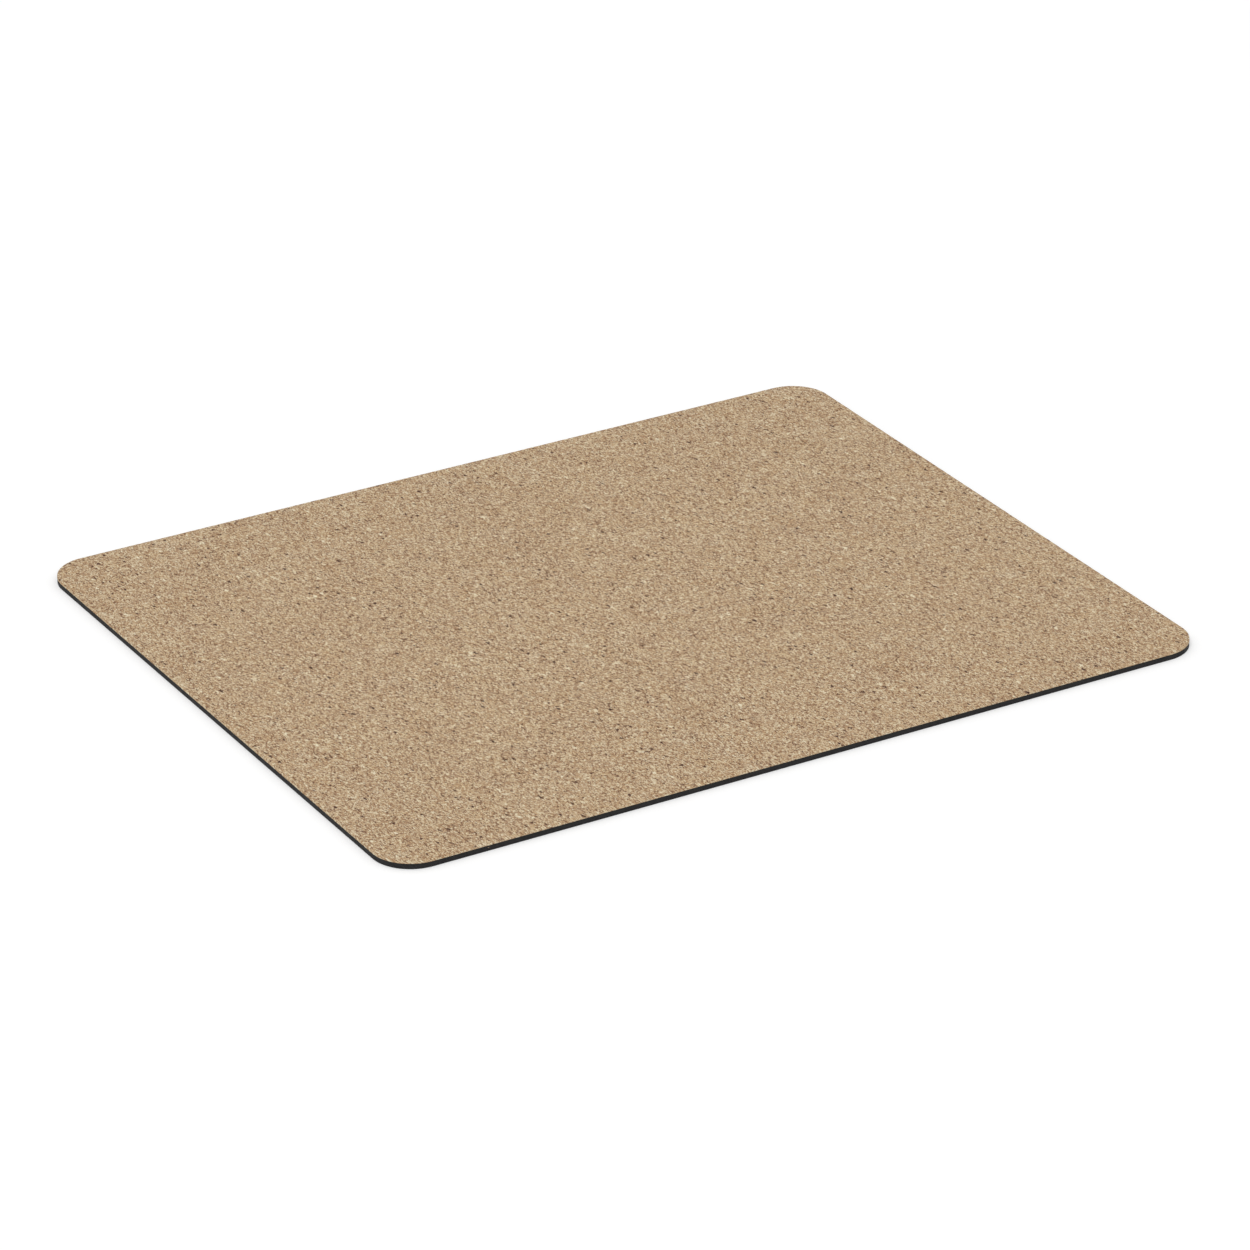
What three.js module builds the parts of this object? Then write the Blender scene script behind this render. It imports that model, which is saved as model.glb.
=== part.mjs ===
// Mouse pad: a thin sheet of agglomerated cork glued to a foam-rubber base, both cut to one rounded outline.
// Millimetres, +Z up. The origin is the middle of the underside, which lies on the desk.
import * as THREE from "three";

// Plan of the pad
const PAD_LENGTH = 220; // side to side, along X
const PAD_DEPTH = 180; // front to back, along Y
const CORNER_RADIUS = 10; // one cutting die rounds every layer alike

// The layers, from the desk up
const BASE_THICKNESS = 1.3; // foam rubber
const FILM_THICKNESS = 0.1; // adhesive film
const CORK_THICKNESS = 0.6; // cork sheet

// Radius of the edge that each outer layer shows to the hand
const BASE_EDGE_RADIUS = 0.15; // round the underside
const CORK_EDGE_RADIUS = 0.2; // round the top face

// Facets on each rounded corner and across each rounded edge
const CORNER_STEPS = 20;
const EDGE_STEPS = 2;

const FILM_BOTTOM = BASE_THICKNESS;
const CORK_BOTTOM = FILM_BOTTOM + FILM_THICKNESS;

// The pad's rounded rectangle, drawn in from the cut edge by inset on every side.
function padOutline(inset) {
  const radius = CORNER_RADIUS - inset;
  const centreX = PAD_LENGTH / 2 - CORNER_RADIUS;
  const centreY = PAD_DEPTH / 2 - CORNER_RADIUS;
  const outline = new THREE.Shape();
  outline.absarc(centreX, centreY, radius, 0, Math.PI / 2);
  outline.absarc(-centreX, centreY, radius, Math.PI / 2, Math.PI);
  outline.absarc(-centreX, -centreY, radius, Math.PI, 1.5 * Math.PI);
  outline.absarc(centreX, -centreY, radius, 1.5 * Math.PI, 2 * Math.PI);
  return outline.getPoints(CORNER_STEPS / 2); // an arc takes two facets for each division
}

// Rings of a rounded edge, from the flat face to the upright cut. depth is measured from the face.
function roundedEdge(radius) {
  const rings = [];
  for (let step = 0; step <= EDGE_STEPS; step += 1) {
    const angle = ((Math.PI / 2) * step) / EDGE_STEPS;
    rings.push({ inset: radius * (1 - Math.sin(angle)), depth: radius * (1 - Math.cos(angle)) });
  }
  return rings;
}

// A closed solid through rings of the outline, each { inset, z }, listed from the bottom face to the top one.
function layerGeometry(rings) {
  const sections = rings.map(({ inset }) => padOutline(inset));
  const count = sections[0].length;
  const positions = sections.flatMap((points, level) => points.flatMap((p) => [p.x, p.y, rings[level].z]));
  const top = (rings.length - 1) * count;
  const triangles = [];
  for (const [a, b, c] of THREE.ShapeUtils.triangulateShape(sections[0], [])) {
    triangles.push(a, c, b);
    triangles.push(top + a, top + b, top + c);
  }
  for (let lower = 0; lower < top; lower += count) {
    for (let i = 0; i < count; i += 1) {
      const a = lower + i;
      const b = lower + ((i + 1) % count);
      triangles.push(a, b, b + count, a, b + count, a + count);
    }
  }
  const geometry = new THREE.BufferGeometry();
  geometry.setAttribute("position", new THREE.Float32BufferAttribute(positions, 3));
  geometry.setIndex(triangles);
  geometry.computeVertexNormals();
  return geometry;
}

function layer(name, rings, bottom, surface) {
  const material = new THREE.MeshStandardMaterial({ metalness: 0, ...surface });
  const mesh = new THREE.Mesh(layerGeometry(rings), material);
  mesh.name = name;
  mesh.position.z = bottom;
  return mesh;
}

// Foam rubber that grips the desk and gives the pad its body.
function rubberBase() {
  const underside = roundedEdge(BASE_EDGE_RADIUS).map(({ inset, depth }) => ({ inset, z: depth }));
  const rings = [...underside, { inset: 0, z: BASE_THICKNESS }];
  return layer("rubber_base", rings, 0, { color: 0x333232, roughness: 0.85 });
}

// Adhesive film that bonds the whole of the cork to the rubber, cut flush with them.
function adhesiveFilm() {
  const rings = [{ inset: 0, z: 0 }, { inset: 0, z: FILM_THICKNESS }];
  return layer("adhesive_film", rings, FILM_BOTTOM, { color: 0x8d8271, roughness: 0.4 });
}

// Pressed and sliced cork granulate that the mouse runs on.
function corkSheet() {
  const face = roundedEdge(CORK_EDGE_RADIUS).map(({ inset, depth }) => ({ inset, z: CORK_THICKNESS - depth }));
  const rings = [{ inset: 0, z: 0 }, ...face.reverse()];
  return layer("cork_sheet", rings, CORK_BOTTOM, { color: 0xb49c7f, roughness: 0.8 });
}

const mousePad = new THREE.Group();
mousePad.add(rubberBase(), adhesiveFilm(), corkSheet());

export default mousePad;
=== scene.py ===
import math

import bmesh
import bpy
from mathutils import Matrix, Vector


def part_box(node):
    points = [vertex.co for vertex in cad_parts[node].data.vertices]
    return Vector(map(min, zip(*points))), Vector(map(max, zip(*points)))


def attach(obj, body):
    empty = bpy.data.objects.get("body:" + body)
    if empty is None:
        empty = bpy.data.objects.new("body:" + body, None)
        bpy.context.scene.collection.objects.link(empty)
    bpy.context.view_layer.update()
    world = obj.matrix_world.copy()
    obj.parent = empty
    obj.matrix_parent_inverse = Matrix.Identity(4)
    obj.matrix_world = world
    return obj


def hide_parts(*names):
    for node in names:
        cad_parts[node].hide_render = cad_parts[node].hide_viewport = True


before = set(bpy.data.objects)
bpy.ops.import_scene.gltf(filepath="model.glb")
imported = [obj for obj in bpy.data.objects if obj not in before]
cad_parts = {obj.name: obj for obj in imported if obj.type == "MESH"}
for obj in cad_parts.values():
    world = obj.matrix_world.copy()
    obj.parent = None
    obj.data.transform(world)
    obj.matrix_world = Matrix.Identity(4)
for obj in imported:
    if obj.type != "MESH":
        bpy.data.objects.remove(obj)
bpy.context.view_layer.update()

MM = 0.001
PER_METRE = 1000  # millimetres, the unit that the patterns are scaled in

# The camera, as it stood for the photograph
CAMERA_AZIMUTH = math.radians(-30.34)  # from straight in front, towards the left end
CAMERA_ELEVATION = math.radians(26.26)
CAMERA_ROLL = math.radians(0.23)
CAMERA_DISTANCE = 1.435
CAMERA_AIM = Vector((1.0, -2.2, -2.9)) * MM
LENS = 171.0  # in millimetres, for a sensor of the next width
SENSOR_WIDTH = 36.0

# The layers, where the solids have them
base_low, base_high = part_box("rubber_base")
film_low, film_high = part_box("adhesive_film")
cork_low, cork_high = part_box("cork_sheet")
HALF_LENGTH = cork_high.x
HALF_DEPTH = cork_high.y

# The cutting die, which gives every layer one outline
CORNER_RADIUS = 10 * MM
CORNER_STEPS = 20
CUT_TOLERANCE = 1e-7  # a point that lies closer than this to a cut is on it
CUT_MERGE = 0.08 * MM  # points of a cut that lie closer than this become one

# The cut edges of the outer layers
EDGE_STEPS = 3
SMOOTH_ANGLE = math.radians(50)  # faces that meet at less than this are shaded as one surface

# The cork sheet
CORK_POINTS = 0.72 * MM  # spacing of the points that carry the relief of its face
CORK_EDGE_RADIUS = 0.2 * MM
LEVEL_MARGIN = CORK_EDGE_RADIUS / 10  # a point that lies closer than this to a flat face is on it
FACE_RELIEF = 0.025 * MM
FACE_RELIEF_SIZE = 1.7 * MM
CUT_RELIEF = 0.05 * MM
CUT_RELIEF_SIZE = 1.1 * MM

# The rubber base, with a grip pattern of square cells moulded into its underside
BASE_EDGE_RADIUS = 0.15 * MM
WAIST = 0.05 * MM  # how far the soft rubber drew back under the die, half way up
GRIP_PITCH = 2.5 * MM
GRIP_LAND = 0.3 * MM  # from a cell's border to the start of its slope
GRIP_SLOPE = 0.25 * MM
GRIP_DEPTH = 0.2 * MM
GRIP_WHOLE = 0.9  # a cell with more than this share of the full area is whole

# The glue between them
FILM_POINTS = 5 * MM
FILM_RECESS = 0.06 * MM

# The flat map of each layer: its showing face above, and strips below for its hidden face and its sides
MAP_NAME = "OFBake"
MAP_STRIP = 0.025
MAP_GAP = 0.005
MAP_STRIPS = 5
HIDDEN, FRONT, BACK, LEFT, RIGHT = range(MAP_STRIPS)
LEVEL_FACE = 0.5  # a face whose normal rises or falls by more than this is part of the top or the underside

# All patterns are flat and run through the pieces at this slant
SLANT = (math.radians(30), math.radians(30), 0)
NOISE_SPAN = (0.3, 0.7)  # the levels between which most of a noise lies

# Flecks and veins of every kind
FLECK_SIZES = (0.6, 1.3)  # the smallest and the largest, against a middling one
FLECK_RAGS = (0.6, 1.6)  # how much a noise shortens or lengthens the way to its border
FLECK_RAG_SCALE = 8.0  # rags along a cell
VEIN_BREAK_SCALE = 3.0  # breaks along a cell
VEIN_BREAK_SPAN = (0.58, 0.66)  # the levels of a noise between which a vein comes in

# Cell sizes of the cork's patterns in millimetres, along the pad's length, depth and height
FINE_GRANULES = (0.16, 0.38, 0.12)
COARSE_GRANULES = (0.26, 0.54, 0.18)
GRANULE_PATCHES = (1.0, 1.6, 0.6)  # patches of fine or of coarse granules
FIBRES = (0.14, 0.34, 0.1)
MOTTLE = (16, 16, 16)
TINGE = (6, 6, 2)
VEINS = (5, 7, 2)

# Where those patterns set in
COARSE_SPAN = (0.42, 0.58)  # the levels of the patches between which fine granules give way to coarse
RIM_SPAN = (0.25, 0.75)  # how far from a granule's middle, in cells, its painted shade towards the rim starts and is full
VEIN_CORE = 0.012  # half the width of a vein's dark middle, in cells
VEIN_RIM = 0.03  # half its whole width

# How the cork's cells are pushed about: the push's scale and reach, in cells
GRANULE_PUSH = (0.35, 1.3)
SMALL_BIT_PUSH = (0.7, 0.5)
LARGE_BIT_PUSH = (0.7, 0.4)
VEIN_PUSH = (0.9, 0.7)

# Odd bits in the cork, one in so many cells. Each is solid up to its core and ends at its rim, in cells
SMALL_PALE_BITS = {"cell": (0.5, 1.25, 0.32), "push": SMALL_BIT_PUSH, "rarity": 9, "core": 0.1, "rim": 0.28}
LARGE_PALE_BITS = {"cell": (1.9, 4.0, 0.9), "push": LARGE_BIT_PUSH, "rarity": 10, "core": 0.07, "rim": 0.18}
SMALL_DARK_BITS = {"cell": (0.5, 1.05, 0.28), "push": SMALL_BIT_PUSH, "rarity": 5, "core": 0.08, "rim": 0.28}
LARGE_DARK_BITS = {"cell": (1.6, 2.8, 0.7), "push": LARGE_BIT_PUSH, "rarity": 8, "core": 0.07, "rim": 0.17}

# The cork's tones, from its darkest at 0 to its palest at 1, as colours on a screen
CORK_TONE = 0.466  # the tone about which it varies
CORK_BROWNS = [
    (0.0, (73, 46, 37)),
    (0.25, (146, 114, 87)),
    (0.5, (189, 156, 120)),
    (0.75, (213, 195, 161)),
    (1.0, (235, 225, 197)),
]

# The cork's upright cut edge is paler than its face, partly as a fresher cut and partly as painted light on
# the upright side. Heights and depths in millimetres
CORK_TOP = cork_high.z * PER_METRE
PALE_CUT_START = 0.08  # below the face
PALE_CUT_FULL = 0.3

# The cork's gloss and fine relief
CORK_GLOSS = 0.25
CORK_ROUGHNESS = (0.95, 0.72)  # of the darkest and of the palest granules
CORK_BUMP = 0.03  # in millimetres
DARK_BIT_PIT = 1.5  # how deep a large dark bit lies, against the rim of a granule

# The rubber's patterns, tones and heights, in the same units
FOAM_CELLS = (0.14, 0.14, 0.1)
CLOUD = (3.0, 3.0, 1.0)
PORES = (0.3, 0.3, 0.2)
CORK_DUST = (2.4, 2.4, 1.0)
RUBBER_TONE = 0.4
RUBBER_BLACKS = [
    (0.0, (14, 13, 13)),
    (0.4, (31, 30, 30)),
    (0.85, (56, 54, 54)),
    (1.0, (150, 127, 98)),  # only the dust of the cork gets here
]
DUST_HEIGHTS = (0.2, 0.4)  # dust begins at the first and lies in full from the second
SCUFF_HEIGHTS = (0.05, 0.3)  # scuffs are full up to the first and end at the second
RUBBER_GLOSS = 0.3
RUBBER_ROUGHNESS = (0.7, 0.92)  # of its darkest and of its palest clouds
RUBBER_BUMP = 0.015

# The glue's, in the same units
GLUE_STREAKS = (2.0, 2.0, 0.3)
GLUE_BROWNS = [(0.3, (38, 34, 31)), (0.7, (70, 62, 54))]
GLUE_ROUGHNESS = (0.4, 0.65)  # of its darkest and of its palest streaks
GLUE_BUMP = 0.02

# The studio: a white dome, one broad soft lamp and a pale floor
WHITE = (1, 1, 1, 1)
DOME_LIGHT = 0.72
DOME_SEEN = 1.0  # plain white
LAMP_PLACE = Vector((-3.2, -3.4, 5.2))
LAMP_SIZE = 4.4
LAMP_POWER = 164.0
FLOOR_SIZE = 2.0
FLOOR_DROP = 0.05 * MM  # a hair below the pad, so that their faces don't meet
FLOOR_COLOUR = (0.8, 0.8, 0.8, 1)
FLOOR_LIFT = 0.27  # light of its own, which takes it to white where it is seen


def camera_axes():
    """The camera's right, up and backward directions."""
    back = Vector((
        math.sin(CAMERA_AZIMUTH) * math.cos(CAMERA_ELEVATION),
        -math.cos(CAMERA_AZIMUTH) * math.cos(CAMERA_ELEVATION),
        math.sin(CAMERA_ELEVATION),
    ))
    level = Vector((0, 0, 1)).cross(back).normalized()
    upright = back.cross(level)
    right = level * math.cos(CAMERA_ROLL) - upright * math.sin(CAMERA_ROLL)
    up = level * math.sin(CAMERA_ROLL) + upright * math.cos(CAMERA_ROLL)
    return right, up, back


def set_up_camera():
    lens = bpy.data.cameras.new("photo_camera")
    lens.lens = LENS
    lens.sensor_width = SENSOR_WIDTH
    camera = bpy.data.objects.new("photo_camera", lens)
    right, up, back = camera_axes()
    camera.matrix_world = Matrix((right, up, back)).transposed().to_4x4()
    camera.location = CAMERA_AIM + back * CAMERA_DISTANCE
    bpy.context.scene.collection.objects.link(camera)
    bpy.context.scene.camera = camera


# Modelling steps that the layers share

def die_cut_sheet(name, inset, height, pitch):
    """A flat sheet of square cells with the die's outline, drawn in by inset. It is left in edit mode."""
    length = 2 * (HALF_LENGTH - inset)
    depth = 2 * (HALF_DEPTH - inset)
    bpy.ops.object.select_all(action="DESELECT")
    bpy.ops.mesh.primitive_grid_add(
        x_subdivisions=round(length / pitch), y_subdivisions=round(depth / pitch), size=1
    )
    sheet = bpy.context.object
    sheet.name = name
    bpy.ops.object.mode_set(mode="EDIT")
    bpy.ops.transform.resize(value=(length, depth, 1))
    bpy.ops.transform.translate(value=(0, 0, height))
    for side_x in (-1, 1):
        for side_y in (-1, 1):
            round_corner(side_x, side_y, CORNER_RADIUS - inset)
    bpy.ops.mesh.select_all(action="SELECT")
    bpy.ops.mesh.remove_doubles(threshold=CUT_MERGE)
    return sheet


def round_corner(side_x, side_y, radius):
    """Trims one corner of the sheet in edit mode to an arc of flat cuts."""
    centre = Vector((side_x * (HALF_LENGTH - CORNER_RADIUS), side_y * (HALF_DEPTH - CORNER_RADIUS), 0))
    turn = math.pi / 2 / CORNER_STEPS
    for step in range(CORNER_STEPS):
        angle = (step + 0.5) * turn
        outward = Vector((side_x * math.cos(angle), side_y * math.sin(angle), 0))
        bpy.ops.mesh.select_all(action="SELECT")
        bpy.ops.mesh.bisect(
            plane_co=centre + outward * radius * math.cos(turn / 2),
            plane_no=outward,
            clear_outer=True,
            threshold=CUT_TOLERANCE,
        )


def select_open_edge():
    bpy.ops.mesh.select_mode(type="EDGE")
    bpy.ops.mesh.select_all(action="DESELECT")
    bpy.ops.mesh.select_non_manifold(
        use_wire=False, use_multi_face=False, use_non_contiguous=False, use_verts=False
    )


def draw_edge(rings):
    """Draws the sheet's open edge on through rings of (rise, spread), each counted from the ring before."""
    select_open_edge()
    for rise, spread in rings:
        bpy.ops.mesh.extrude_edges_move(TRANSFORM_OT_translate={"value": (0, 0, rise)})
        if spread:
            bpy.ops.transform.shrink_fatten(value=spread, use_even_offset=True)


def rounded_edge(radius):
    """Rings of a quarter round from a flat face to the upright cut, as (rise, spread)."""
    rings = []
    for step in range(EDGE_STEPS):
        start = math.pi / 2 * step / EDGE_STEPS
        end = math.pi / 2 * (step + 1) / EDGE_STEPS
        rise = radius * (math.cos(start) - math.cos(end))
        spread = radius * (math.sin(end) - math.sin(start))
        rings.append((rise, spread))
    return rings


def close_layer():
    """Closes the layer over its open edge, turns its faces outwards and leaves edit mode."""
    select_open_edge()
    bpy.ops.mesh.edge_face_add()
    bpy.ops.mesh.select_all(action="SELECT")
    bpy.ops.mesh.normals_make_consistent(inside=False)
    bpy.ops.object.mode_set(mode="OBJECT")


def add_group(piece, name, wanted):
    """Makes a group of the piece's points that wanted picks by their place, and gives back its name."""
    group = piece.vertex_groups.new(name=name)
    group.add([point.index for point in piece.data.vertices if wanted(point.co)], 1, "REPLACE")
    return name


def roughen(piece, group, size, depth):
    """Sinks the points of a group by up to depth in a pattern of rounded granules of that size."""
    granules = bpy.data.textures.new(piece.name + "_" + group, "VORONOI")
    granules.noise_scale = size
    sink = piece.modifiers.new(group, "DISPLACE")
    sink.texture = granules
    sink.texture_coords = "LOCAL"
    sink.vertex_group = group
    sink.strength = -depth
    sink.mid_level = 0
    bpy.ops.object.modifier_apply(modifier=sink.name)


def strip_of(normal, up):
    """The strip of the flat map for a face with this normal, or None for the showing face."""
    if abs(normal.z) > LEVEL_FACE:
        return None if normal.z * up > 0 else HIDDEN
    if abs(normal.y) > abs(normal.x):
        return FRONT if normal.y < 0 else BACK
    return LEFT if normal.x < 0 else RIGHT


def lay_flat(layer, up):
    """Gives the layer a flat map. up is 1 if its top face shows, and -1 if its underside does."""
    mesh = layer.data
    flat = mesh.uv_layers.new(name=MAP_NAME).uv
    levels = [point.co.z for point in mesh.vertices]
    low, high = min(levels), max(levels)
    foot = MAP_STRIPS * (MAP_STRIP + MAP_GAP)
    for face in mesh.polygons:
        strip = strip_of(face.normal, up)
        for corner in face.loop_indices:
            place = mesh.vertices[mesh.loops[corner].vertex_index].co
            across = (place.x / HALF_LENGTH + 1) / 2
            along = (place.y / HALF_DEPTH + 1) / 2
            climb = (place.z - low) / (high - low)
            if strip is None:
                flat[corner].vector = across, foot + along * (1 - foot)
            else:
                length = along if strip in (LEFT, RIGHT) else across
                width = along if strip == HIDDEN else climb
                flat[corner].vector = length, strip * (MAP_STRIP + MAP_GAP) + width * MAP_STRIP


# The pieces

def cork_layer():
    cork = die_cut_sheet("cork_layer", CORK_EDGE_RADIUS, cork_high.z, CORK_POINTS)
    draw_edge([(-rise, spread) for rise, spread in rounded_edge(CORK_EDGE_RADIUS)])
    draw_edge([(cork_low.z - cork_high.z + CORK_EDGE_RADIUS, 0)])
    close_layer()
    face_level = cork_high.z - LEVEL_MARGIN
    foot_level = cork_low.z + LEVEL_MARGIN
    face = add_group(cork, "face", lambda place: place.z > face_level)
    cut = add_group(cork, "cut", lambda place: foot_level < place.z <= face_level)
    roughen(cork, face, FACE_RELIEF_SIZE, FACE_RELIEF)
    roughen(cork, cut, CUT_RELIEF_SIZE, CUT_RELIEF)
    bpy.ops.object.shade_smooth_by_angle(angle=SMOOTH_ANGLE)
    lay_flat(cork, 1)
    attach(cork, "root")
    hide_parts("cork_sheet")
    return cork


def rubber_layer():
    rubber = die_cut_sheet("rubber_layer", BASE_EDGE_RADIUS, base_low.z, GRIP_PITCH)
    bpy.ops.mesh.select_all(action="SELECT")
    bpy.ops.mesh.flip_normals()
    sink_grip_cells(rubber)
    wall = base_high.z - base_low.z - BASE_EDGE_RADIUS
    draw_edge(rounded_edge(BASE_EDGE_RADIUS))
    draw_edge([(wall / 2, -WAIST), (wall / 2, WAIST)])
    close_layer()
    bpy.ops.object.shade_smooth_by_angle(angle=SMOOTH_ANGLE)
    lay_flat(rubber, -1)
    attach(rubber, "root")
    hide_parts("rubber_base")
    return rubber


def sink_grip_cells(rubber):
    """Sinks every whole square cell of the underside, which leaves a raised grid between them."""
    bpy.ops.mesh.select_mode(type="FACE")
    bpy.ops.mesh.select_all(action="DESELECT")
    cells = bmesh.from_edit_mesh(rubber.data)
    whole = GRIP_WHOLE * GRIP_PITCH ** 2
    for cell in cells.faces:
        if len(cell.verts) == 4 and cell.calc_area() > whole:
            cell.select_set(True)
    bmesh.update_edit_mesh(rubber.data)
    bpy.ops.mesh.inset(thickness=GRIP_LAND, depth=0, use_individual=True)
    bpy.ops.mesh.inset(thickness=GRIP_SLOPE, depth=-GRIP_DEPTH, use_individual=True)


def glue_layer():
    glue = die_cut_sheet("glue_layer", FILM_RECESS, film_high.z, FILM_POINTS)
    draw_edge([(film_low.z - film_high.z, 0)])
    close_layer()
    lay_flat(glue, 1)
    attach(glue, "root")
    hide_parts("adhesive_film")
    return glue


# The finishes

class Finish:
    """A procedural material in the making. Its methods add nodes and give back what to go on with."""

    def __init__(self, name):
        self.material = bpy.data.materials.new(name)
        self.material.use_nodes = True
        self.nodes = self.material.node_tree.nodes
        self.links = self.material.node_tree.links
        self.shader = self.nodes["Principled BSDF"]

    def add(self, kind, inputs, **settings):
        node = self.nodes.new(kind)
        for setting, value in settings.items():
            setattr(node, setting, value)
        for socket, value in inputs.items():
            self.feed(node.inputs[socket], value)
        return node

    def feed(self, socket, value):
        """Links a socket to another node's output, or sets it to a plain value."""
        if isinstance(value, bpy.types.NodeSocket):
            self.links.new(value, socket)
        else:
            socket.default_value = value

    def surface(self, **inputs):
        for socket, value in inputs.items():
            self.feed(self.shader.inputs[socket.replace("_", " ")], value)

    def place(self, cell):
        """The piece's own coordinates, in units of a cell of these three sizes in millimetres.

        The patterns are flat. They run through the piece at a slant, so that its face and its cut edges
        both cross them, and a streak shows on neither.
        """
        own = self.add("ShaderNodeTexCoord", {}).outputs["Object"]
        scale = [PER_METRE / size for size in cell]
        inputs = {"Vector": own, "Scale": scale, "Rotation": SLANT}
        return self.add("ShaderNodeMapping", inputs).outputs["Vector"]

    def height(self):
        """Height above the desk, in millimetres."""
        own = self.add("ShaderNodeTexCoord", {}).outputs["Object"]
        level = self.add("ShaderNodeSeparateXYZ", {"Vector": own}).outputs["Z"]
        return self.maths("MULTIPLY", level, PER_METRE)

    def maths(self, operation, *values):
        node = self.add("ShaderNodeMath", {}, operation=operation)
        for socket, value in zip(node.inputs, values):
            self.feed(socket, value)
        return node.outputs["Value"]

    def total(self, *terms):
        """The sum of several numbers."""
        found = terms[0]
        for term in terms[1:]:
            found = self.maths("ADD", found, term)
        return found

    def weighed(self, *parts):
        """A list of several (number, weight) parts, each number times its weight."""
        return [self.maths("MULTIPLY", number, weight) for number, weight in parts]

    def shares(self, *parts):
        """The sum of several (number, share) parts, each taken about its middle of 0.5."""
        centred = [(self.maths("SUBTRACT", number, 0.5), share) for number, share in parts]
        return self.total(*self.weighed(*centred))

    def between(self, share, first, second):
        """The first number where share is 0, the second where it is 1."""
        inputs = {"Factor": share, "A": first, "B": second}
        return self.add("ShaderNodeMix", inputs, data_type="FLOAT").outputs["Result"]

    def stretch(self, value, low, high, to_low=0.0, to_high=1.0):
        """Takes low..high to to_low..to_high, in an even S and held at both ends."""
        node = self.add(
            "ShaderNodeMapRange",
            {"Value": value, "From Min": low, "From Max": high, "To Min": to_low, "To Max": to_high},
            interpolation_type="SMOOTHSTEP",
        )
        return node.outputs["Result"]

    def noise(self, place, scale=1.0, detail=2.0, roughness=0.5, output="Fac"):
        inputs = {"Vector": place, "Scale": scale, "Detail": detail, "Roughness": roughness}
        return self.add("ShaderNodeTexNoise", inputs, noise_dimensions="2D").outputs[output]

    def pushed(self, place, scale, reach):
        """The place, pushed about by a slow noise so that no cell stays straight."""
        push = self.noise(place, scale, detail=1.0, output="Color")
        centred = self.add("ShaderNodeVectorMath", {0: push, 1: (0.5, 0.5, 0.5)}, operation="SUBTRACT")
        scaled = self.add(
            "ShaderNodeVectorMath", {0: centred.outputs["Vector"], "Scale": reach}, operation="SCALE"
        )
        moved = self.add("ShaderNodeVectorMath", {0: place, 1: scaled.outputs["Vector"]}, operation="ADD")
        return moved.outputs["Vector"]

    def cells(self, place, feature="F1"):
        inputs = {"Vector": place, "Scale": 1.0}
        return self.add("ShaderNodeTexVoronoi", inputs, feature=feature, voronoi_dimensions="2D")

    def lot(self, cells, channel):
        """A number from 0 to 1 drawn for each cell. A cell has three, red, green and blue."""
        return self.add("ShaderNodeSeparateColor", {"Color": cells.outputs["Color"]}).outputs[channel]

    def flecks(self, place, rarity, core, rim):
        """Ragged spots in a few of the cells: one in rarity cells has one, from core to rim in cells."""
        cells = self.cells(place)
        drawn = self.maths("LESS_THAN", self.lot(cells, "Red"), 1 / rarity)
        size = self.stretch(self.lot(cells, "Green"), 0, 1, *FLECK_SIZES)
        ragged = self.stretch(self.noise(place, FLECK_RAG_SCALE), *NOISE_SPAN, *FLECK_RAGS)
        far = self.maths("MULTIPLY", cells.outputs["Distance"], self.maths("DIVIDE", ragged, size))
        return self.maths("MULTIPLY", drawn, self.stretch(far, core, rim, to_low=1, to_high=0))

    def veins(self, place, core, rim):
        """Thin broken lines along the borders of cells, from core to rim in cells."""
        borders = self.cells(place, feature="DISTANCE_TO_EDGE").outputs["Distance"]
        broken = self.stretch(self.noise(place, VEIN_BREAK_SCALE, detail=1.0), *VEIN_BREAK_SPAN)
        return self.maths("MULTIPLY", broken, self.stretch(borders, core, rim, to_low=1, to_high=0))

    def tones(self, value, stops):
        """Colours along a scale. stops are (position, colour on a screen)."""
        ramp = self.add("ShaderNodeValToRGB", {"Fac": value})
        points = ramp.color_ramp.elements
        while len(points) < len(stops):
            points.new(0.5)
        for point, (position, colour) in zip(points, stops):
            point.position = position
            point.color = linear(colour)
        return ramp.outputs["Color"]

    def bump(self, height, depth):
        """A relief in the shading, depth millimetres from its lowest to its highest."""
        return self.add("ShaderNodeBump", {"Height": height, "Distance": depth * MM}).outputs["Normal"]


def linear(colour):
    """A colour of 0..255 on a screen, by the sRGB curve, in the linear numbers of a shader, with alpha."""
    shares = [level / 255 for level in colour]
    return [s / 12.92 if s <= 0.04045 else ((s + 0.055) / 1.055) ** 2.4 for s in shares] + [1]


def cork_granules(cork, cell):
    """Granules of about one size, bent out of any straight line."""
    return cork.cells(cork.pushed(cork.place(cell), *GRANULE_PUSH))


def cork_bits(cork, cell, push, rarity, core, rim):
    """Odd bits of one kind, scattered among the granules."""
    return cork.flecks(cork.pushed(cork.place(cell), *push), rarity, core, rim)


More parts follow.
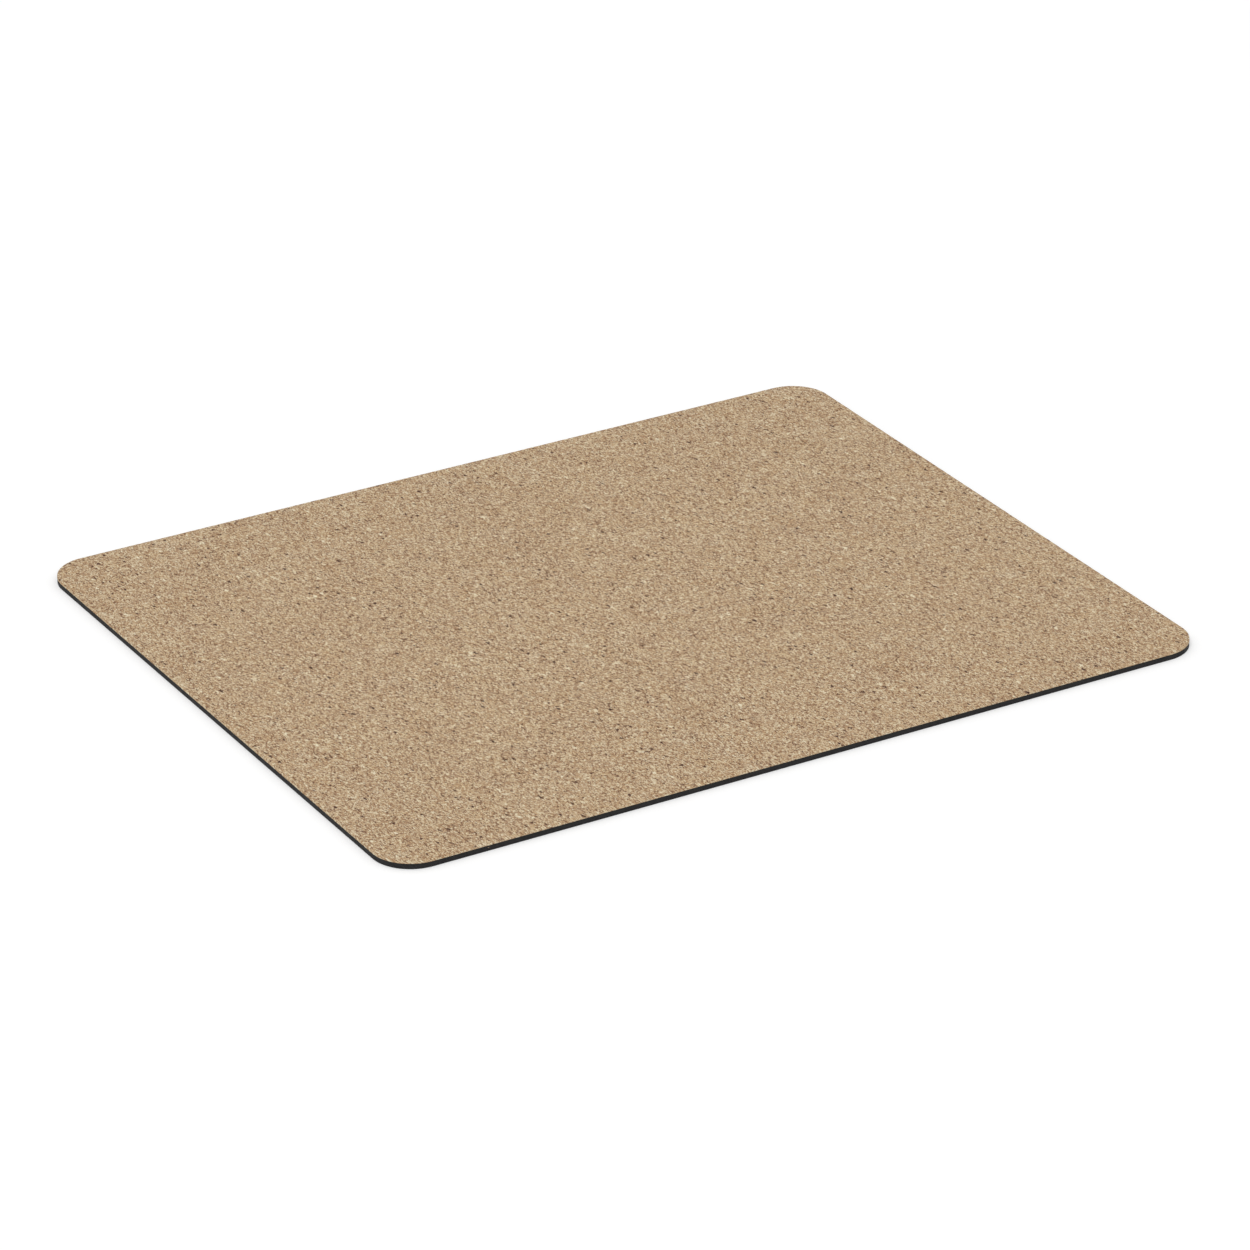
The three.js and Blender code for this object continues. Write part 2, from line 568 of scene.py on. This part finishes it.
def cork_finish():
    """Fine agglomerated cork: small granules of many browns, pressed longer than wide, with odd bits."""
    cork = Finish("cork")
    fine = cork_granules(cork, FINE_GRANULES)
    coarse = cork_granules(cork, COARSE_GRANULES)
    coarseness = cork.stretch(cork.noise(cork.place(GRANULE_PATCHES), detail=1.0), *COARSE_SPAN)
    granules = cork.between(coarseness, cork.lot(fine, "Red"), cork.lot(coarse, "Red"))
    reach = cork.between(coarseness, fine.outputs["Distance"], coarse.outputs["Distance"])
    # painted shade: each granule darkens from its middle to its rim, as a rounded granule would shade; the
    # same rims sink in the bump below
    rims_shaded_and_sunk = cork.stretch(reach, *RIM_SPAN)
    fibres = cork.noise(cork.place(FIBRES))
    mottle = cork.noise(cork.place(MOTTLE), detail=0.0)
    small_pale = cork_bits(cork, **SMALL_PALE_BITS)
    large_pale = cork_bits(cork, **LARGE_PALE_BITS)
    small_dark = cork_bits(cork, **SMALL_DARK_BITS)
    large_dark = cork_bits(cork, **LARGE_DARK_BITS)
    veins = cork.veins(cork.pushed(cork.place(VEINS), *VEIN_PUSH), VEIN_CORE, VEIN_RIM)
    # paler down the upright cut, fading out just below the face: partly a fresher cut, partly painted light
    # on the side
    cut = cork.stretch(
        cork.height(), CORK_TOP - PALE_CUT_FULL, CORK_TOP - PALE_CUT_START, to_low=1, to_high=0
    )
    # the granules' rims are darkened here as painted shade
    tone = cork.total(
        CORK_TONE,
        cork.shares((granules, 0.66), (rims_shaded_and_sunk, -0.25), (fibres, 0.5), (mottle, 0.04)),
        *cork.weighed(
            (small_pale, 0.46),
            (large_pale, 0.42),
            (small_dark, -0.6),
            (large_dark, -1.0),
            (veins, -0.25),
            (cut, 0.09),
        ),
    )
    browns = cork.tones(tone, CORK_BROWNS)
    tinge = cork.noise(cork.place(TINGE), detail=1.0)
    yellow = cork.total(1.0, cork.shares((cork.lot(coarse, "Green"), 0.1), (tinge, 0.1)))
    colour = cork.add("ShaderNodeHueSaturation", {"Color": browns, "Saturation": yellow}).outputs["Color"]
    pits = cork.total(rims_shaded_and_sunk, *cork.weighed((large_dark, DARK_BIT_PIT)))
    cork.surface(
        Base_Color=colour,
        Roughness=cork.stretch(granules, 0, 1, *CORK_ROUGHNESS),
        Specular_IOR_Level=CORK_GLOSS,
        Normal=cork.bump(cork.maths("SUBTRACT", 1.0, pits), CORK_BUMP),
    )
    return cork.material


def rubber_finish():
    """Black foam rubber with fine closed cells, cork dust in its cut and scuffs where it meets the desk."""
    rubber = Finish("foam_rubber")
    height = rubber.height()
    foam = rubber.cells(rubber.place(FOAM_CELLS))
    cloud = rubber.noise(rubber.place(CLOUD), detail=4.0, roughness=0.6)
    pores = rubber.flecks(rubber.place(PORES), rarity=3, core=0.1, rim=0.35)
    dust = rubber.flecks(rubber.place(CORK_DUST), rarity=12, core=0.06, rim=0.14)
    cut = rubber.stretch(height, *DUST_HEIGHTS)
    foot = rubber.stretch(height, *SCUFF_HEIGHTS, to_low=1, to_high=0)
    tone = rubber.total(
        RUBBER_TONE,
        rubber.shares((rubber.lot(foam, "Red"), 0.3), (cloud, 0.4)),
        *rubber.weighed(
            (pores, -0.3),
            (rubber.maths("MULTIPLY", dust, cut), 0.8),
            (rubber.maths("MULTIPLY", cloud, foot), 0.2),
        ),
    )
    relief = rubber.maths("SUBTRACT", foam.outputs["Distance"], pores)
    rubber.surface(
        Base_Color=rubber.tones(tone, RUBBER_BLACKS),
        Roughness=rubber.stretch(cloud, *NOISE_SPAN, *RUBBER_ROUGHNESS),
        Specular_IOR_Level=RUBBER_GLOSS,
        Normal=rubber.bump(relief, RUBBER_BUMP),
    )
    return rubber.material


def glue_finish():
    """Dried brown contact adhesive, uneven along the cut."""
    glue = Finish("glue")
    streaks = glue.noise(glue.place(GLUE_STREAKS), detail=3.0)
    glue.surface(
        Base_Color=glue.tones(streaks, GLUE_BROWNS),
        Roughness=glue.stretch(streaks, *NOISE_SPAN, *GLUE_ROUGHNESS),
        Normal=glue.bump(streaks, GLUE_BUMP),
    )
    return glue.material


# The studio

def seen_directly(tree):
    """Gives 1 where the camera, a gloss or a glass looks at a shader, and 0 for the light that it sheds."""
    path = tree.nodes.new("ShaderNodeLightPath")
    seen = path.outputs["Is Camera Ray"]
    for kind in ("Is Glossy Ray", "Is Transmission Ray"):
        either = tree.nodes.new("ShaderNodeMath")
        either.operation = "MAXIMUM"
        tree.links.new(seen, either.inputs[0])
        tree.links.new(path.outputs[kind], either.inputs[1])
        seen = either.outputs["Value"]
    return seen


def set_up_dome():
    """A white dome of light all round, plain white where it is seen."""
    world = bpy.data.worlds.new("studio")
    world.use_nodes = True
    bpy.context.scene.world = world
    tree = world.node_tree
    strength = tree.nodes.new("ShaderNodeMapRange")
    tree.links.new(seen_directly(tree), strength.inputs["Value"])
    strength.inputs["To Min"].default_value = DOME_LIGHT
    strength.inputs["To Max"].default_value = DOME_SEEN
    tree.nodes["Background"].inputs["Color"].default_value = WHITE
    tree.links.new(strength.outputs["Result"], tree.nodes["Background"].inputs["Strength"])


def set_up_lamp():
    """One broad soft lamp from the near left, turned to the pad."""
    light = bpy.data.lights.new("soft_lamp", "AREA")
    light.shape = "DISK"
    light.size = LAMP_SIZE
    light.energy = LAMP_POWER
    lamp = bpy.data.objects.new("soft_lamp", light)
    lamp.rotation_euler = (-LAMP_PLACE).to_track_quat("-Z", "Y").to_euler()
    lamp.location = LAMP_PLACE
    bpy.context.scene.collection.objects.link(lamp)


def set_up_floor():
    """A pale floor that keeps the pad's shadow and is lifted to white where it is seen."""
    bpy.ops.object.select_all(action="DESELECT")
    bpy.ops.mesh.primitive_plane_add(size=FLOOR_SIZE, location=(0, 0, -FLOOR_DROP))
    floor = bpy.context.object
    floor.name = "floor"
    pale = Finish("floor")
    seen = seen_directly(pale.material.node_tree)
    pale.surface(
        Base_Color=FLOOR_COLOUR,
        Roughness=1.0,
        Specular_IOR_Level=0.0,
        Emission_Color=WHITE,
        Emission_Strength=pale.maths("MULTIPLY", seen, FLOOR_LIFT),
    )
    floor.data.materials.append(pale.material)


bpy.context.scene.view_settings.view_transform = "Standard"
set_up_camera()
cork_layer().data.materials.append(cork_finish())
rubber_layer().data.materials.append(rubber_finish())
glue_layer().data.materials.append(glue_finish())
set_up_dome()
set_up_lamp()
set_up_floor()
